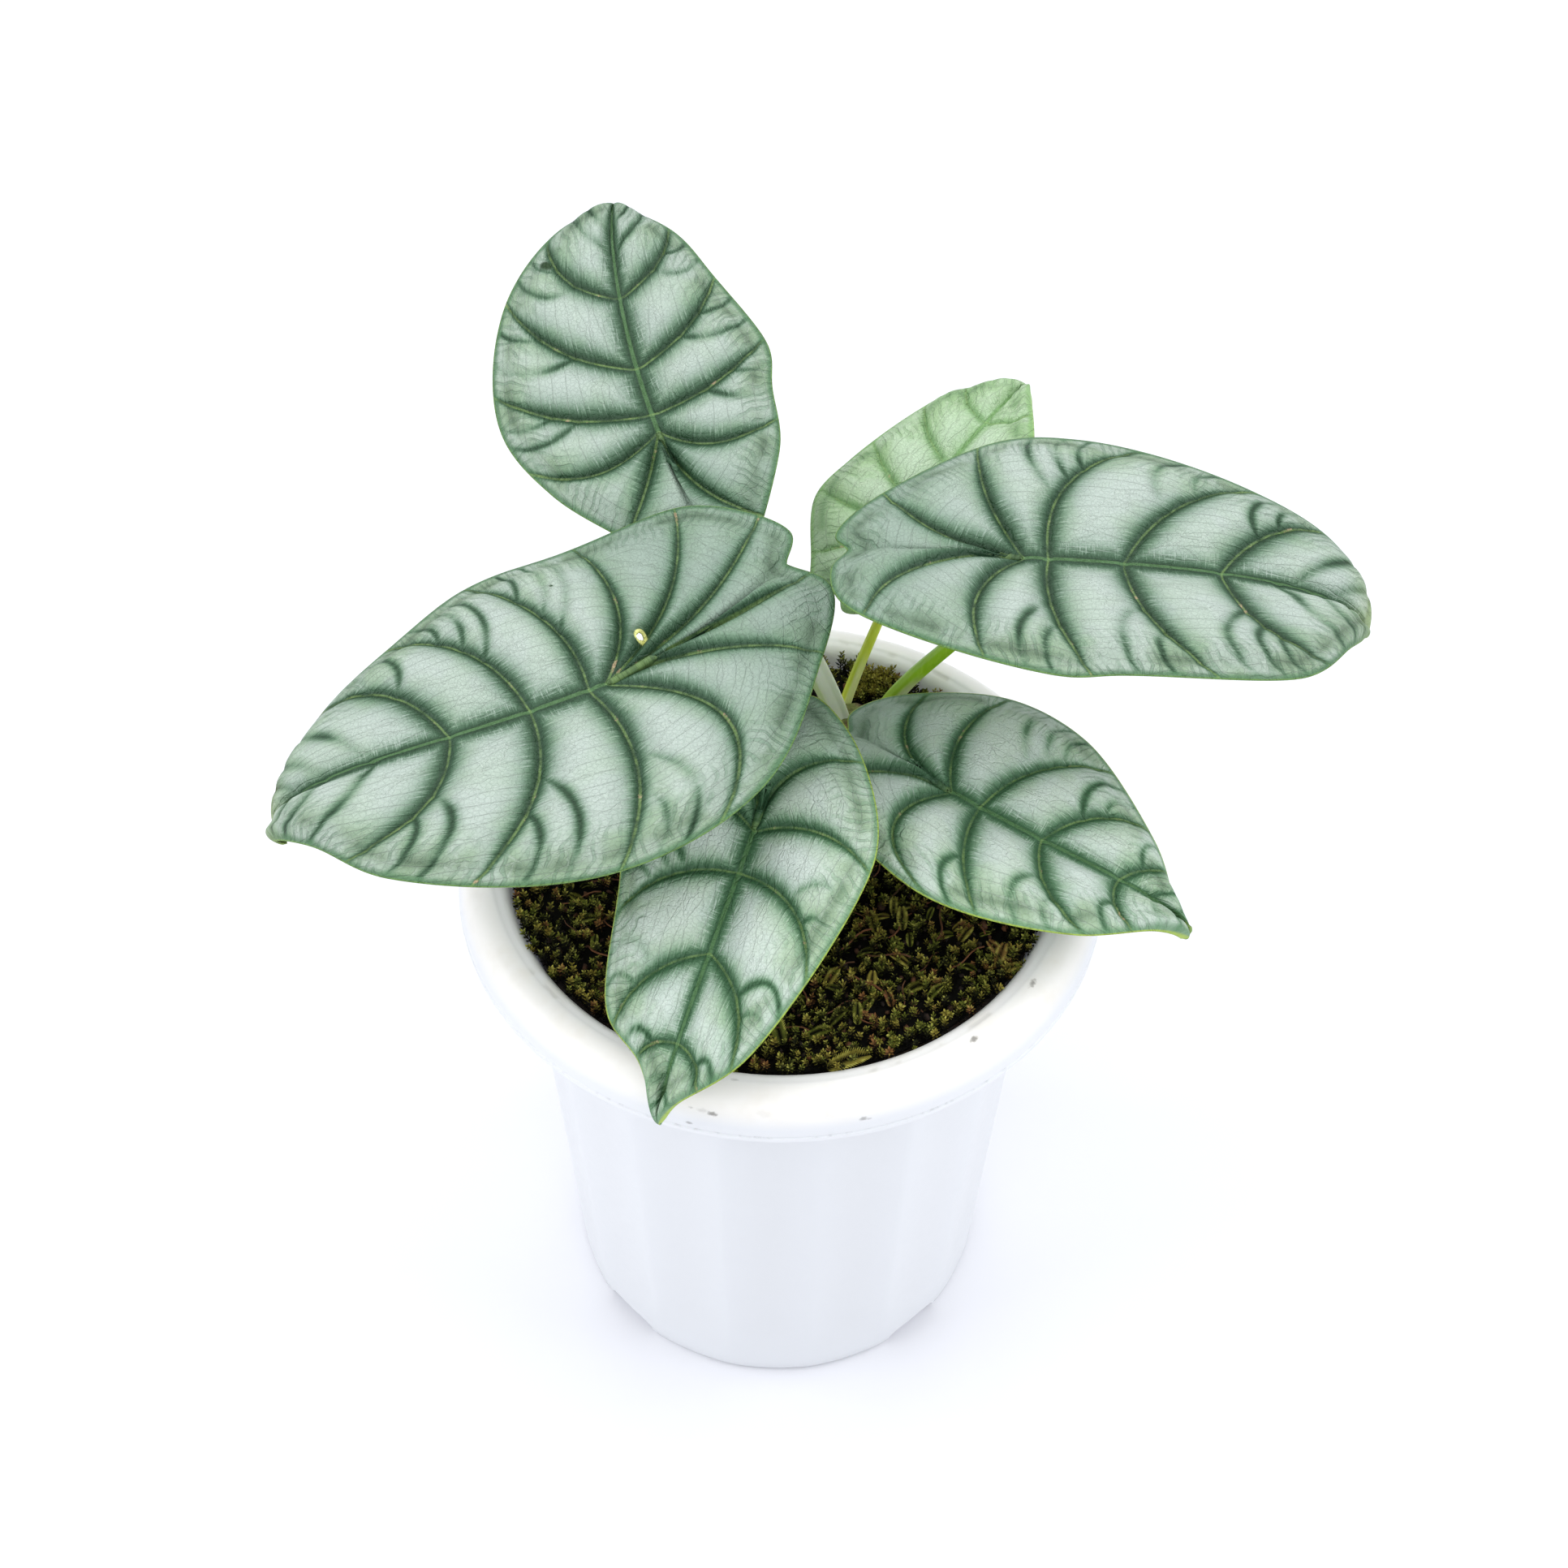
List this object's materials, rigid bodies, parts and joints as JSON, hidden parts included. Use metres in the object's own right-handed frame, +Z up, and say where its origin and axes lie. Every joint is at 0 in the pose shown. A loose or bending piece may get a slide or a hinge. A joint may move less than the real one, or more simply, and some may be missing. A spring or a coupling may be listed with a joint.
{
  "type": "potted silver dragon alocasia",
  "caption": "Potted house plant with broad silver-green peltate leaves on short stalks, rising from mossy soil in a white fluted nursery pot.",
  "frame": {"origin": "centre of the pot's flat underside", "axes": "+Z up along the pot's axis, -Y towards the picture's viewer, +X to the picture's right"},
  "size_m": [0.2483, 0.2294, 0.222],
  "materials": {
    "pot_plastic": "satin moulded white polypropylene",
    "soil": "moist dark peat and bark crumb",
    "moss": "low yellow-green moss fronds",
    "corm": "brown papery leaf bases",
    "blade": "thick leathery leaf, silver green panels between dark green sunken veins",
    "young_blade": "young leathery leaf, paler yellow green with fainter veins",
    "petiole": "smooth fleshy green stalk",
    "pale_petiole": "smooth pale sheathed stalk",
    "young_petiole": "smooth thin yellow-green stalk"
  },
  "bodies": {
    "root": {"pot": "pot_plastic", "soil": "soil", "moss": "moss", "corm": "corm", "blade_a": "blade", "blade_b": "blade", "blade_c": "young_blade", "blade_d": "blade", "blade_e": "blade", "blade_f": "blade", "petiole_a": "pale_petiole", "petiole_b": "petiole", "petiole_c": "young_petiole", "petiole_d": "petiole", "petiole_e": "petiole", "petiole_f": "petiole"}
  },
  "joints": []
}
